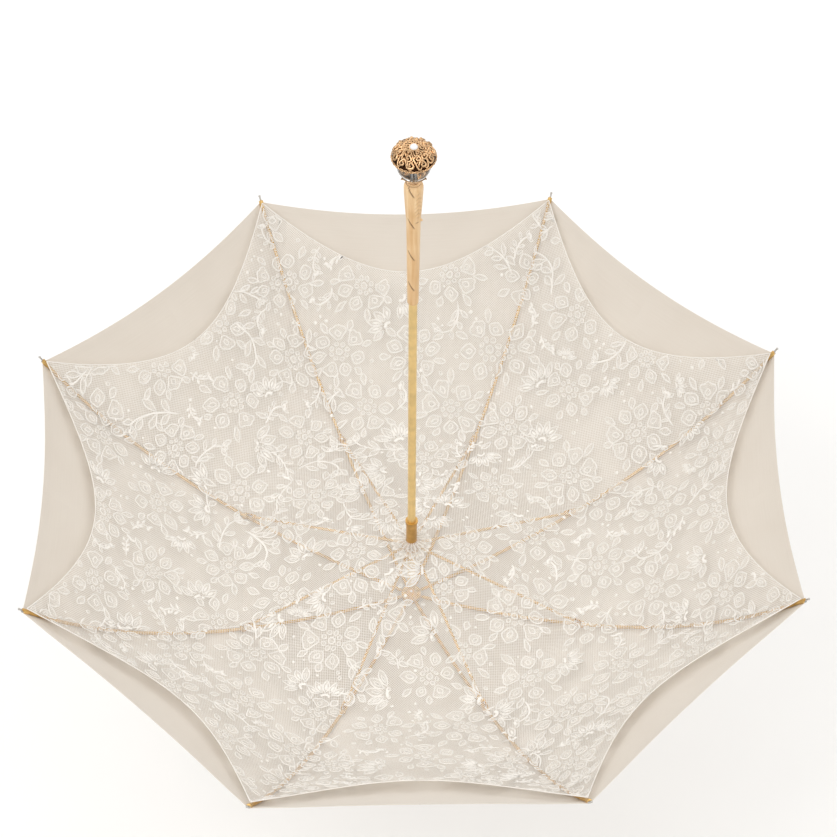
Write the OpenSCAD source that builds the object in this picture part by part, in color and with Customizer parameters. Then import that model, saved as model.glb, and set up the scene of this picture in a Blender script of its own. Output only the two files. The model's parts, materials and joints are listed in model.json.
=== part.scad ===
// Lace parasol, open, held handle upwards.
// +Z runs up the shaft from the ferrule to the knob. The origin is the middle of the handle,
// where a hand holds it. Eight curved ribs hang on a wire ring in the crown, and eight
// stretchers join them to a runner that slides on the shaft. Each rib carries a cloth panel
// outside it and a lace panel inside it, from the middle of one gore to the middle of the next.

/* [Canopy] */
// Shaft's axis to each corner of the canopy
rim_r = 480; // [400:1:590]
// Shaft's axis to each stretcher joint
joint_r = 222; // [180:1:270]
// Slope of a rib where it leaves the crown, degrees
crown_slope = 6.6; // [5:0.1:9]
// Slope of a rib at its stretcher joint, degrees
joint_slope = 20.5; // [18:0.1:24]
// Slope of a rib at its tip, degrees
tip_slope = 51; // [46:0.5:56]
// How far the cloth's hem dips in between two tips, in plan
canopy_dip = 11; // [4:1:30]
// How far the lace's edge dips in between two tips, in plan
lining_dip = 63; // [40:1:76]
// Thickness of the cloth
cloth_t = 0.4; // [0.3:0.1:1.2]
// Thickness of the lace lining
lace_t = 0.4; // [0.3:0.1:1.2]

/* [Frame] */
// Diameter of a rib
rib_d = 4; // [2.6:0.1:4.2]
// Diameter of a stretcher
stretcher_d = 3.4; // [2.2:0.1:3.6]
// Diameter of a stretcher's rivet
rivet_d = 1.6; // [1.2:0.1:2]
// Radius of the wire rings that the ribs and stretchers hang on
pivot_r = 9; // [8.5:0.1:12]
// Diameter of the ring wire
wire_d = 1; // [0.8:0.1:1.3]
// Outside diameter of the shaft
shaft_d = 9.5; // [8:0.1:11]
// Wall of the shaft
shaft_wall = 0.8; // [0.6:0.1:1.2]
// Crown ring to the lower end of the handle
crown_to_handle = 552; // [530:1:680]
// Length of the runner, from its ring up
runner_l = 50; // [34:1:64]
// Outside diameter of the runner's tube
runner_d = 13; // [12.5:0.1:16]
// How far a catch stands out of the shaft
catch_out = 2.4; // [1.6:0.1:3]
// Length of the ferrule below the crown
ferrule_l = 66; // [40:1:90]
// Diameter of the ferrule's end
ferrule_d = 8; // [6:0.1:9.5]

/* [Handle] */
// Length of the carved handle
handle_l = 190; // [150:1:240]
// Diameter of the handle at its lower end
handle_low_d = 12.5; // [11.5:0.1:16]
// Diameter of the handle below its shoulder
handle_top_d = 20.8; // [17:0.1:25]
// Diameter of the crystal ball
ball_d = 36.6; // [30:0.1:42]
// Diameter of the filigree cap
cap_d = 48; // [44:0.1:58]
// Height of the filigree cap
cap_h = 14; // [10:0.1:18]
// Diameter of the stone on the cap
stone_d = 9; // [6:0.1:11]

/* [Fits] */
// Radial gap of the runner on the shaft
slide_gap = 0.08; // [0.02:0.01:0.1]
// Radial gap of a rivet or ring wire in its eye
pin_gap = 0.06; // [0.04:0.01:0.09]
// Gap from a rib's or stretcher's centre to the cloth and lace, past the rivet's boss
cloth_gap = 0.7; // [0.5:0.1:1.2]
// Gap between pieces of cloth that ride on different ribs
panel_gap = 0.6; // [0.4:0.1:1.2]

/* [Hidden] */
$fn = 48;
rib_count = 8;
gore = 360 / rib_count;
ribs = [for (k = [1:rib_count]) k];
function names(word) = [for (k = ribs) str(word, "_", k)];

// The frame's heights follow from the two arcs of a rib. Equal arms on equal rings make the
// runner rise twice as far above the crown as the stretcher joint does.
function arc_r(run, slope_in, slope_out) = run / (sin(slope_out) - sin(slope_in));
inner_arc = arc_r(joint_r - pivot_r, crown_slope, joint_slope);
outer_arc = arc_r(rim_r - joint_r, joint_slope, tip_slope);
crown_z = -handle_l / 2 - crown_to_handle;
joint_z = crown_z + inner_arc * (cos(crown_slope) - cos(joint_slope));
rim_z = joint_z + outer_arc * (cos(joint_slope) - cos(tip_slope));
runner_z = 2 * joint_z - crown_z;
stretch_slope = atan((runner_z - joint_z) / (joint_r - pivot_r));

// The fold ends when the rib tips come in to this distance from the axis
folded_tip_r = 24;
tip_chord = norm([rim_r - pivot_r, rim_z - crown_z]);
fold = acos((folded_tip_r - pivot_r) / tip_chord) - atan((rim_z - crown_z) / (rim_r - pivot_r));
lever = norm([joint_r - pivot_r, joint_z - crown_z]);
folded_runner_z = crown_z + 2 * lever * cos(atan((joint_r - pivot_r) / (joint_z - crown_z)) - fold);
echo(crown_z=crown_z, joint_z=joint_z, rim_z=rim_z, runner_z=runner_z,
    fold=fold, folded_runner_z=folded_runner_z);

eye_d = 4.4;
eye_t = 1.2;
slot_w = 1.8;
neck_h = 2.4;
neck_l = 5;
boss_d = 5.2;
boss_w = rib_d + 0.2;
fork_gap = 0.4;
fork_t = 1;
fork_l = 11;
notch_r = pivot_r + 3;
notch_above = 1.2;
tip_cup_d = rib_d + 1.4;
tip_cup_in = 7;
tip_cup_out = 2;
tip_pin_d = 2.2;
tip_pin_l = 6;

module on_rib(k) rotate([0, 0, gore * (k - 0.5)]) children();

// Sweeps a section along a circle in the rib's plane, between two slopes
module arc_sweep(centre, radius, slope_a, slope_b)
    translate([centre[0], 0, centre[1]]) rotate([90, 0, 0]) rotate([0, 0, slope_a - 90])
        rotate_extrude(angle=slope_b - slope_a, $fn=96) translate([radius, 0]) children();

// A pin, eye or boss across the rib's plane
module across(x, z, d, w) translate([x, 0, z]) rotate([90, 0, 0]) cylinder(d=d, h=w, center=true);

inner_centre = [pivot_r - inner_arc * sin(crown_slope), crown_z + inner_arc * cos(crown_slope)];
outer_centre = [joint_r - outer_arc * sin(joint_slope), joint_z + outer_arc * cos(joint_slope)];
neck_turn = neck_l / inner_arc * 180 / PI;

// One rib: a round rod bowed in two arcs, a flat eye at the crown and a boss for the rivet
module rib(k) color("goldenrod") on_rib(k) difference() {
    union() {
        arc_sweep(inner_centre, inner_arc, crown_slope + neck_turn, joint_slope) circle(d=rib_d);
        arc_sweep(outer_centre, outer_arc, joint_slope, tip_slope) circle(d=rib_d);
        across(pivot_r, crown_z, eye_d, eye_t);
        translate([pivot_r, 0, crown_z]) rotate([0, -crown_slope, 0])
            translate([0, -eye_t / 2, -neck_h / 2]) cube([neck_l + 1, eye_t, neck_h]);
        across(joint_r, joint_z, boss_d, boss_w);
    }
    across(pivot_r, crown_z, wire_d + 2 * pin_gap, boss_w);
    across(joint_r, joint_z, rivet_d + 2 * pin_gap, boss_w + 1);
}

// The cup over a rib's end, which the cloth's corner is sewn to, and its round-ended pin
module rib_tip(k) color("gold") on_rib(k)
    translate([rim_r, 0, rim_z]) rotate([0, 90 - tip_slope, 0]) {
        difference() {
            translate([0, 0, -tip_cup_in]) cylinder(d=tip_cup_d, h=tip_cup_in + tip_cup_out);
            translate([0, 0, -tip_cup_in - 1])
                cylinder(d=rib_d + 2 * pin_gap, h=tip_cup_in + 1 + pin_gap);
        }
        translate([0, 0, tip_cup_out]) cylinder(d=tip_pin_d, h=tip_pin_l);
        translate([0, 0, tip_cup_out + tip_pin_l]) sphere(d=tip_pin_d + 0.8);
    }

// One stretcher: an eye on the runner's ring, a rod, and a fork riveted over the rib's boss
stretcher_l = norm([joint_r - pivot_r, runner_z - joint_z]);
fork_in = boss_w / 2 + fork_gap;
module fork_cheek() rotate([90, 0, 0]) linear_extrude(fork_t) union() {
    circle(d=boss_d);
    translate([-fork_l, -stretcher_d / 2]) square([fork_l, stretcher_d]);
}
module stretcher(k) color("goldenrod") on_rib(k)
    translate([joint_r, 0, joint_z]) rotate([0, stretch_slope, 0]) difference() {
        union() {
            translate([-stretcher_l + neck_l, 0, 0]) rotate([0, 90, 0])
                cylinder(d=stretcher_d, h=stretcher_l - neck_l - fork_l);
            across(-stretcher_l, 0, eye_d, eye_t);
            translate([-stretcher_l, -eye_t / 2, -neck_h / 2]) cube([neck_l + 1, eye_t, neck_h]);
            translate([-fork_l - 2.5, -fork_in - fork_t, -stretcher_d / 2])
                cube([3, 2 * (fork_in + fork_t), stretcher_d]);
            translate([0, fork_in + fork_t, 0]) fork_cheek();
            translate([0, -fork_in, 0]) fork_cheek();
            across(0, 0, rivet_d, 2 * (fork_in + fork_t) + 0.8);
        }
        across(-stretcher_l, 0, wire_d + 2 * pin_gap, boss_w);
    }

// Cloth and lace are stretched straight from rib to rib. A panel is a grid of stations, which
// run out along its rib, and of columns, which run sideways to the middle of each gore.
half = gore / 2;
cloth_off = boss_d / 2 + cloth_gap;
inner_steps = 3;
outer_steps = 6;
side_steps = 4;
function slope_at(r) = r < joint_r
    ? asin(sin(crown_slope) + (r - pivot_r) / inner_arc)
    : asin(sin(joint_slope) + (r - joint_r) / outer_arc);
function height_at(r) = r < joint_r
    ? crown_z + inner_arc * (cos(crown_slope) - cos(slope_at(r)))
    : joint_z + outer_arc * (cos(joint_slope) - cos(slope_at(r)));

// A point beside a rib, moved off it to its inner side by a distance
function beside(r, off) = [r - off * sin(slope_at(r)), height_at(r) + off * cos(slope_at(r))];
crease = (joint_slope + stretch_slope) / 2;
function in_crease(off) = [joint_r - off * sin(joint_slope - crease) / cos(crease),
    joint_z + off * cos(joint_slope - crease) / cos(crease)];
function above_stretcher(r, off) = [r, in_crease(off)[1]
    + (in_crease(off)[0] - r) * tan(stretch_slope)];

// How far out the hem is, a share t of the way from the rib to the gore's middle
function hem_at(t, out, dip) = out - dip / cos(half) * (1 - (1 - t) * (1 - t));
function outer_line(t, out, dip, off) = [for (i = [1:outer_steps])
    beside(joint_r + (hem_at(t, out, dip) - joint_r) * i / outer_steps, off)];
function cloth_line(t, off) = concat(
    [for (i = [0:inner_steps]) beside(hole_r + (joint_r - hole_r) * i / inner_steps, off)],
    outer_line(t, rim_r, canopy_dip, off));
function lace_line(t, off) = concat(
    [for (i = [0:inner_steps - 1])
        above_stretcher(hole_r + (joint_r - hole_r) * i / inner_steps, off)],
    [in_crease(off)], outer_line(t, rim_r - lace_inset, lining_dip, off));
function sideways(p, t) = let (s = abs(t) * (1 - panel_gap / 2 / (p[0] * sin(half))))
    [p[0] * (1 - s * sin(half) * sin(half)), sign(t) * s * p[0] * cos(half) * sin(half), p[1]];
shares = [for (j = [-side_steps:side_steps]) j / side_steps];
hole_r = notch_r + 4.5;
lace_inset = 3;

// Closes two grids of points, the lower and the upper face, into one sheet
module sheet(low, high) {
    cols = len(low);
    rows = len(low[0]);
    function at(face, j, i) = face * cols * rows + j * rows + i;
    function quad(a, b, c, d) = [[a, b, c], [a, c, d]];
    faces = [for (j = [0:cols - 2], i = [0:rows - 2], q = [
            quad(at(0, j, i), at(0, j, i + 1), at(0, j + 1, i + 1), at(0, j + 1, i)),
            quad(at(1, j, i), at(1, j + 1, i), at(1, j + 1, i + 1), at(1, j, i + 1))]) each q];
    sides = [for (i = [0:rows - 2], q = [
            quad(at(0, 0, i), at(1, 0, i), at(1, 0, i + 1), at(0, 0, i + 1)),
            quad(at(0, cols - 1, i), at(0, cols - 1, i + 1), at(1, cols - 1, i + 1),
                 at(1, cols - 1, i))]) each q];
    ends = [for (j = [0:cols - 2], q = [
            quad(at(0, j, 0), at(0, j + 1, 0), at(1, j + 1, 0), at(1, j, 0)),
            quad(at(0, j, rows - 1), at(1, j, rows - 1), at(1, j + 1, rows - 1),
                 at(0, j + 1, rows - 1))]) each q];
    polyhedron([for (face = [low, high], column = face, p = column) p], concat(faces, sides, ends));
}
module canopy_panel(k) color("antiquewhite") on_rib(k) sheet(
    [for (t = shares) [for (p = cloth_line(abs(t), -cloth_off - cloth_t)) sideways(p, t)]],
    [for (t = shares) [for (p = cloth_line(abs(t), -cloth_off)) sideways(p, t)]]);
module lining_panel(k) color("white") on_rib(k) sheet(
    [for (t = shares) [for (p = lace_line(abs(t), cloth_off)) sideways(p, t)]],
    [for (t = shares) [for (p = lace_line(abs(t), cloth_off + lace_t)) sideways(p, t)]]);

// The tube through the whole parasol, slotted at the back for the two catches
shaft_r = shaft_d / 2;
bore_r = shaft_r - shaft_wall;
shaft_in_handle = 60;
shaft_below_crown = 12;
catch_w = 1.4;
catch_arm = 22;
slot_side = 0.25;
top_catch_z = runner_z + runner_l + 0.6;
bottom_catch_z = folded_runner_z - notch_above - 0.6;
module shaft() color("gold") difference() {
    translate([0, 0, crown_z - shaft_below_crown])
        cylinder(d=shaft_d, h=shaft_below_crown + crown_to_handle + shaft_in_handle);
    translate([0, 0, crown_z - shaft_below_crown - 1])
        cylinder(r=bore_r, h=shaft_below_crown + crown_to_handle + shaft_in_handle + 2);
    translate([-catch_w / 2 - slot_side, 0, top_catch_z - 1.2])
        cube([catch_w + 2 * slot_side, shaft_d, catch_arm]);
    translate([-catch_w / 2 - slot_side, 0, bottom_catch_z + 1.2 - catch_arm])
        cube([catch_w + 2 * slot_side, shaft_d, catch_arm]);
}

// A spring catch: its square end stops the runner, and it turns into the shaft about a pin
// at its other end. way is 1 where the pin is above the square end, -1 where it is below.
module catch(z, way) color("silver") translate([0, 0, z]) scale_z(way) {
    rotate([90, 0, 90]) translate([0, 0, -catch_w / 2]) linear_extrude(catch_w)
        polygon([[bore_r - 2.4, catch_arm + 2.4], [bore_r - 0.4, catch_arm + 2.4],
                 [bore_r - 0.3, catch_arm - 4], [shaft_r + catch_out, 1.4],
                 [shaft_r + catch_out, 0], [bore_r - 1.4, 0], [bore_r - 2.4, catch_arm - 4]]);
    translate([0, catch_pin_y, catch_arm]) rotate([0, 90, 0])
        cylinder(d=catch_pin_d, h=catch_pin_l, center=true);
}
catch_pin_d = 1.4;
catch_pin_y = bore_r - 1.5;
// The pin reaches the bore's wall on both sides
catch_pin_l = 2 * sqrt(pow(bore_r, 2) - pow(catch_pin_y + catch_pin_d / 2, 2));
module scale_z(way) if (way > 0) children(); else mirror([0, 0, 1]) children();
module top_catch() catch(top_catch_z, 1);
module bottom_catch() catch(bottom_catch_z, -1);

// The slotted disc that holds a ring of wire, its eight slots open outwards and to one side
module notched_disc(z, above, below) translate([0, 0, z]) difference() {
    translate([0, 0, -below]) cylinder(r=notch_r, h=above + below);
    for (k = ribs) on_rib(k) translate([pivot_r - eye_d / 2 - 0.5, -slot_w / 2, -below - 1])
        cube([notch_r, slot_w, above + below + 2]);
    ring_wire();
}
module ring_wire() rotate_extrude($fn=96) translate([pivot_r, 0]) circle(d=wire_d, $fn=24);

module crown_notch() color("gold") difference() {
    union() {
        notched_disc(crown_z, notch_above, 3);
        translate([0, 0, crown_z - 4]) cylinder(r=notch_r, h=1);
    }
    translate([0, 0, crown_z - 6]) cylinder(d=shaft_d, h=12);
}
module crown_wire() color("silver") translate([0, 0, crown_z]) ring_wire();

// Outside the crown: a pleated cloth washer, the metal cap under it, and the ferrule
washer_z = crown_z - cloth_off - cloth_t - 2.6;
washer_r = notch_r + 10;
cap_disc_h = 3;
module crown_washer() color("antiquewhite") difference() {
    translate([0, 0, washer_z - 0.8]) cylinder(r=washer_r, h=0.8);
    translate([0, 0, washer_z - 2]) cylinder(d=shaft_d, h=4);
}
module crown_cap() color("gold") difference() {
    translate([0, 0, washer_z - 0.8 - cap_disc_h])
        cylinder(r1=notch_r - 2, r2=washer_r - 3, h=cap_disc_h);
    translate([0, 0, washer_z - 8]) cylinder(d=shaft_d, h=10);
}
ferrule_top = washer_z - 0.8 - cap_disc_h;
ferrule_end = crown_z - ferrule_l;
module ferrule() color("gold") difference() {
    rotate_extrude($fn=64) polygon([[0, ferrule_top], [shaft_r + 3.5, ferrule_top],
        [shaft_r + 3.5, ferrule_top - 3], [shaft_r + 1.6, ferrule_top - 5],
        [shaft_r + 1.6, ferrule_top - 12], [ferrule_d / 2, ferrule_end + 26],
        [ferrule_d / 2, ferrule_end + 1.5], [ferrule_d / 2 - 1.5, ferrule_end], [0, ferrule_end]]);
    translate([0, 0, crown_z - shaft_below_crown]) cylinder(d=shaft_d, h=40);
}

// The runner: a notched disc and a tube that a hand pushes along the shaft
module runner() color("goldenrod") difference() {
    union() {
        notched_disc(runner_z, 3, notch_above);
        translate([0, 0, runner_z + 3]) cylinder(d=runner_d, h=runner_l - 3);
        translate([0, 0, runner_z + runner_l - 4]) cylinder(d=runner_d + 2, h=4);
    }
    translate([0, 0, runner_z - 5]) cylinder(r=shaft_r + slide_gap, h=runner_l + 10);
}
module runner_wire() color("silver") translate([0, 0, runner_z]) ring_wire();

// The lace gathered round the runner above its disc
module lining_rosette() color("white") translate([0, 0, runner_z + 3.3]) difference() {
    cylinder(r1=notch_r + 3, r2=runner_d / 2 + 2, h=6);
    translate([0, 0, -1]) cylinder(d=runner_d + 0.1, h=9);
}

// The carved handle, a revolved blank that narrows towards the shaft
handle_low = -handle_l / 2;
handle_high = handle_l / 2;
module handle_stick() color("burlywood") difference() {
    rotate_extrude($fn=64) polygon([[0, handle_low], [handle_low_d / 2 - 0.6, handle_low],
        [handle_low_d / 2, handle_low + 0.8], [handle_low_d / 2 + 1.6, handle_l * 0.21],
        [handle_top_d / 2, handle_high - 12], [handle_top_d / 2, handle_high - 4],
        [handle_top_d / 2 - 3.5, handle_high], [0, handle_high]]);
    translate([0, 0, handle_low - 1]) cylinder(d=shaft_d, h=shaft_in_handle + 1);
    translate([0, 0, handle_high - 30]) cylinder(d=rod_d, h=31);
}

// The knob: a crystal ball in a leafy calyx, under a pierced cap with a stone on it, all
// held by one rod
rod_d = 4;
ball_z = handle_high + 8.5 + ball_d / 2;
cap_z = ball_z + 11;
cap_arc = (cap_d * cap_d / 4 + cap_h * cap_h) / (2 * cap_h);
cap_wall = 1.6;
cap_centre = cap_z + cap_h - cap_arc;
module knob_rod() color("silver") translate([0, 0, handle_high - 30])
    cylinder(d=rod_d, h=cap_z + cap_h - cap_wall - 1 - handle_high + 30);
module calyx() color("gold") difference() {
    translate([0, 0, handle_high]) cylinder(d1=handle_top_d - 8, d2=handle_top_d + 2, h=12);
    translate([0, 0, ball_z]) sphere(d=ball_d, $fn=64);
    translate([0, 0, handle_high - 1]) cylinder(d=rod_d, h=20);
}
module crystal_ball() color("whitesmoke") difference() {
    translate([0, 0, ball_z]) sphere(d=ball_d, $fn=64);
    translate([0, 0, handle_high]) cylinder(d=rod_d, h=ball_d + 20);
}
module filigree_cap() color("gold") difference() {
    union() {
        intersection() {
            translate([0, 0, cap_centre]) sphere(r=cap_arc, $fn=96);
            translate([0, 0, cap_z]) cylinder(d=cap_d + 1, h=cap_h + 1);
        }
        translate([0, 0, cap_z - 1.5]) cylinder(d=cap_d, h=2);
    }
    translate([0, 0, cap_centre]) sphere(r=cap_arc - cap_wall, $fn=96);
    translate([0, 0, cap_z - 3]) cylinder(d=cap_d - 3, h=4);
    translate([0, 0, cap_z - 4]) cylinder(d=rod_d, h=cap_h - cap_wall + 3);
}
module cap_stone() color("white") difference() {
    translate([0, 0, cap_z + cap_h - 0.6]) sphere(d=stone_d, $fn=48);
    translate([0, 0, cap_centre]) sphere(r=cap_arc, $fn=96);
}

for (k = ribs) {
    rib(k);
    rib_tip(k);
    stretcher(k);
    canopy_panel(k);
    lining_panel(k);
}
shaft();
ferrule();
crown_notch();
crown_wire();
crown_cap();
crown_washer();
runner();
runner_wire();
lining_rosette();
top_catch();
bottom_catch();
handle_stick();
knob_rod();
calyx();
crystal_ball();
filigree_cap();
cap_stone();
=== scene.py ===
import json
import math
import random

import bmesh
import bpy
from mathutils import Matrix, Vector, noise


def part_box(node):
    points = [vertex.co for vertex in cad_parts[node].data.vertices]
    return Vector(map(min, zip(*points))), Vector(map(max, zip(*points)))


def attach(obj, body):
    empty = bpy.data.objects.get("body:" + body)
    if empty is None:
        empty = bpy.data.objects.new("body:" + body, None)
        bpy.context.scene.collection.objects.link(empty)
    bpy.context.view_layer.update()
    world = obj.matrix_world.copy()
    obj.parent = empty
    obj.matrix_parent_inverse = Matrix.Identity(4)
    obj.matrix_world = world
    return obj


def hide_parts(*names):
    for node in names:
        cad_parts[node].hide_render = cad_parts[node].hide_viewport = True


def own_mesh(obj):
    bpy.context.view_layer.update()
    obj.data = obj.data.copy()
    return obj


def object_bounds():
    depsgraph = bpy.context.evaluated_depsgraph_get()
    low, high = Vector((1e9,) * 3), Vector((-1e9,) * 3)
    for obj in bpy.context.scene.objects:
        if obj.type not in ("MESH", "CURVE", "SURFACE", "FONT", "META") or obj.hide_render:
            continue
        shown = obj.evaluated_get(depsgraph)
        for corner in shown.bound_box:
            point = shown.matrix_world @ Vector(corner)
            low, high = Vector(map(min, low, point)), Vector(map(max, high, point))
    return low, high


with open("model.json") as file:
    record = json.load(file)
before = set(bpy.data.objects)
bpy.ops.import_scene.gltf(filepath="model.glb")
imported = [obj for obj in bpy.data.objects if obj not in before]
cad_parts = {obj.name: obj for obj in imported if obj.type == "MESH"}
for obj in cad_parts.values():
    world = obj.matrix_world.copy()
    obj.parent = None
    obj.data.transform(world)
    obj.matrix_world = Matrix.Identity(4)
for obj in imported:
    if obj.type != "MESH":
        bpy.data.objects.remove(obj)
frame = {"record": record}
cad_low, cad_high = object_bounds()

# Camera, floor and light: the parasol is seen from above its rim, looking into the canopy.
# A pale floor lies below the ferrule, and wide soft lamps leave almost no shadow.
cam_data = bpy.data.cameras.new("camera")
cam_data.sensor_width = 36
cam_data.lens = 123.7
cam_data.clip_end = 50
cam = bpy.data.objects.new("camera", cam_data)
bpy.context.collection.objects.link(cam)
view_turn = Matrix.Rotation(math.radians(-1.51), 4, "Z")
look_down = math.radians(51.41)
eye = Vector((0.0072, -2.0562, 2.2780))
look = Vector((0, math.cos(look_down), -math.sin(look_down)))
cam.matrix_world = (
    view_turn
    @ Matrix.Translation(eye)
    @ look.to_track_quat("-Z", "Y").to_matrix().to_4x4()
    @ Matrix.Rotation(math.radians(0.51), 4, "Z")
)
bpy.context.scene.camera = cam
bpy.context.scene.view_settings.view_transform = "Standard"


def add_object(name, bm, *materials):
    for edge in bm.edges:
        edge.smooth = not edge.is_boundary
    mesh = bpy.data.meshes.new(name)
    bm.to_mesh(mesh)
    bm.free()
    piece = bpy.data.objects.new(name, mesh)
    bpy.context.collection.objects.link(piece)
    for material in materials:
        mesh.materials.append(material)
    return piece


def new_material(name, color, roughness, metallic=0.0):
    material = bpy.data.materials.new(name)
    material.use_nodes = True
    shader = material.node_tree.nodes["Principled BSDF"]
    shader.inputs["Base Color"].default_value = (*color, 1)
    shader.inputs["Roughness"].default_value = roughness
    shader.inputs["Metallic"].default_value = metallic
    return material, material.node_tree, shader


def add_node(tree, kind, inputs=(), **settings):
    node = tree.nodes.new("ShaderNode" + kind)
    for key, value in settings.items():
        setattr(node, key, value)
    for key, value in dict(inputs).items():
        if isinstance(value, bpy.types.NodeSocket):
            tree.links.new(value, node.inputs[key])
        else:
            node.inputs[key].default_value = value
    return node


def maths(tree, operation, a, b=0.0):
    return add_node(tree, "Math", {0: a, 1: b}, operation=operation).outputs[0]


def tone(tree, factor, low, high, start=0.3, end=0.7):
    ramp = add_node(tree, "ValToRGB", {0: factor})
    ramp.color_ramp.elements[0].position = start
    ramp.color_ramp.elements[0].color = (*low, 1)
    ramp.color_ramp.elements[1].position = end
    ramp.color_ramp.elements[1].color = (*high, 1)
    return ramp.outputs[0]


floor_material, tree, shader = new_material("pale_floor", (0.95, 0.95, 0.95), 0.9)
coords = add_node(tree, "TexCoord")
grain = add_node(tree, "TexNoise", {"Vector": coords.outputs["Object"], "Scale": 3.0})
tree.links.new(tone(tree, grain.outputs[0], (0.94, 0.94, 0.94), (0.96, 0.96, 0.96)),
               shader.inputs["Base Color"])
bm = bmesh.new()
bmesh.ops.create_grid(bm, x_segments=1, y_segments=1, size=12)
bmesh.ops.translate(bm, verts=bm.verts, vec=(0, 0, cad_low[2] - 0.25))
floor = add_object("floor", bm, floor_material)

world = bpy.data.worlds.new("studio")
bpy.context.scene.world = world
world.use_nodes = True
sky = add_node(world.node_tree, "TexCoord")
upward = add_node(world.node_tree, "SeparateXYZ", {0: sky.outputs["Generated"]})
above = maths(world.node_tree, "ABSOLUTE", upward.outputs[2])
world.node_tree.links.new(tone(world.node_tree, above, (0.42, 0.41, 0.40), (1.0, 0.99, 0.97), 0.05, 0.45),
                          world.node_tree.nodes["Background"].inputs[0])
world.node_tree.nodes["Background"].inputs[1].default_value = 0.98
for name, place, size, power in (
    ("key_lamp", (-1.6, -1.2, 2.4), 1.6, 26),
    ("fill_lamp", (1.9, -1.4, 1.8), 2.0, 10),
    ("back_lamp", (0.3, 2.6, 1.6), 2.0, 12),
):
    lamp = bpy.data.lights.new(name, "AREA")
    lamp.size = size
    lamp.energy = power
    holder = bpy.data.objects.new(name, lamp)
    holder.location = place
    holder.rotation_euler = (Vector((0, 0, -0.45)) - Vector(place)).to_track_quat("-Z", "Y").to_euler()
    bpy.context.collection.objects.link(holder)


# Canopy: eight gores of cream taffeta, sewn along the ribs and hemmed between the tips. Each
# panel here is the cloth that one rib carries, and meets its neighbours halfway between ribs.
# The ribs turn on a wire ring at the crown. Every stretcher joins its rib at one circle and the
# runner at another, and the cloth is laid out from these.
RIBS = range(1, 9)
GORE = math.radians(45)
HALF = GORE / 2
joint_at = {j["name"]: j["pos_m"] for j in frame["record"]["behaviour"]["joints"] if "pos_m" in j}
pivot_r = math.hypot(joint_at["fold"][0], joint_at["fold"][1])
crown_z = joint_at["fold"][2]
joint_r = math.hypot(joint_at["stretcher_1_turn"][0], joint_at["stretcher_1_turn"][1])
joint_z = joint_at["stretcher_1_turn"][2]
runner_z = joint_at["runner_level"][2]
rim_r = 0.480
sin_crown, sin_joint, sin_tip = (math.sin(math.radians(a)) for a in (6.6, 20.5, 51))
inner_arc = (joint_r - pivot_r) / (sin_joint - sin_crown)
outer_arc = (rim_r - joint_r) / (sin_tip - sin_joint)
stretch_tan = (runner_z - joint_z) / (joint_r - pivot_r)
cloth_gap = 0.0034
canopy_dip = 0.011
hole_r = 0.0165
cloth_thick = 0.0003
seam_half = 0.0016


def azimuth(k):
    return GORE * (k - 0.5)


def along(angle):
    return Vector((math.cos(angle), math.sin(angle), 0))


def slope(r):
    """How steeply a rib climbs at radius r: it is bowed more beyond its stretcher's joint."""
    if r < joint_r:
        return math.asin(sin_crown + (r - pivot_r) / inner_arc)
    return math.asin(min(0.95, sin_joint + (r - joint_r) / outer_arc))


def height(r):
    if r < joint_r:
        return crown_z + inner_arc * (math.sqrt(1 - sin_crown**2) - math.cos(slope(r)))
    return joint_z + outer_arc * (math.sqrt(1 - sin_joint**2) - math.cos(slope(r)))


def beside(r, off):
    """Radius and height of a point off a rib's middle line, square to it."""
    return r - off * math.sin(slope(r)), height(r) + off * math.cos(slope(r))


def hem_r(share, out, dip):
    """Radius of an edge that hangs between two ribs: share is 0 midway and 1 at a rib."""
    return out - dip / math.cos(HALF) * (1 - share * share)


def across_gore(gore_angle, radial, z, side):
    """A point beside the middle of a gore: radial is measured at the ribs, side across."""
    middle = along(gore_angle)
    return middle * (radial * math.cos(HALF)) + along(gore_angle + math.pi / 2) * side + Vector((0, 0, z))


cloth, tree, shader = new_material("cream_taffeta", (0.86, 0.79, 0.70), 0.62)
shader.inputs["Sheen Weight"].default_value = 0.25
shader.inputs["Sheen Roughness"].default_value = 0.4
uv = add_node(tree, "UVMap")
weave = add_node(tree, "Mapping", {"Vector": uv.outputs[0], "Scale": (900.0, 900.0, 1.0)})
threads = add_node(tree, "TexWave", {"Vector": weave.outputs[0], "Scale": 1.0, "Distortion": 0.6},
                   bands_direction="X")
picks = add_node(tree, "TexWave", {"Vector": weave.outputs[0], "Scale": 1.0, "Distortion": 0.6},
                 bands_direction="Y")
slubs = add_node(tree, "TexNoise", {"Vector": uv.outputs[0], "Scale": 14.0, "Detail": 4.0})
weft = add_node(tree, "Mapping", {"Vector": uv.outputs[0], "Scale": (6.0, 160.0, 1.0)})
streak = add_node(tree, "TexNoise", {"Vector": weft.outputs[0], "Scale": 4.0, "Detail": 3.0})
mottle = maths(tree, "ADD", maths(tree, "MULTIPLY", slubs.outputs[0], 0.6),
               maths(tree, "MULTIPLY", streak.outputs[0], 0.4))
tree.links.new(tone(tree, mottle, (0.711, 0.645, 0.568), (0.752, 0.692, 0.618)),
               shader.inputs["Base Color"])
relief = maths(tree, "ADD", threads.outputs[1], picks.outputs[1])
bump = add_node(tree, "Bump", {"Height": relief, "Strength": 0.18, "Distance": 0.0003})
tree.links.new(bump.outputs[0], shader.inputs["Normal"])


def smooth(piece):
    for polygon in piece.data.polygons:
        polygon.use_smooth = True
    return piece


def thicken(piece, thickness):
    solid = piece.modifiers.new("thickness", "SOLIDIFY")
    solid.thickness = thickness
    solid.offset = 0


def write_uv(bm, flat):
    layer = bm.loops.layers.uv.new("flat")
    for face in bm.faces:
        for loop in face.loops:
            loop[layer].uv = flat[loop.vert]


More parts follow.
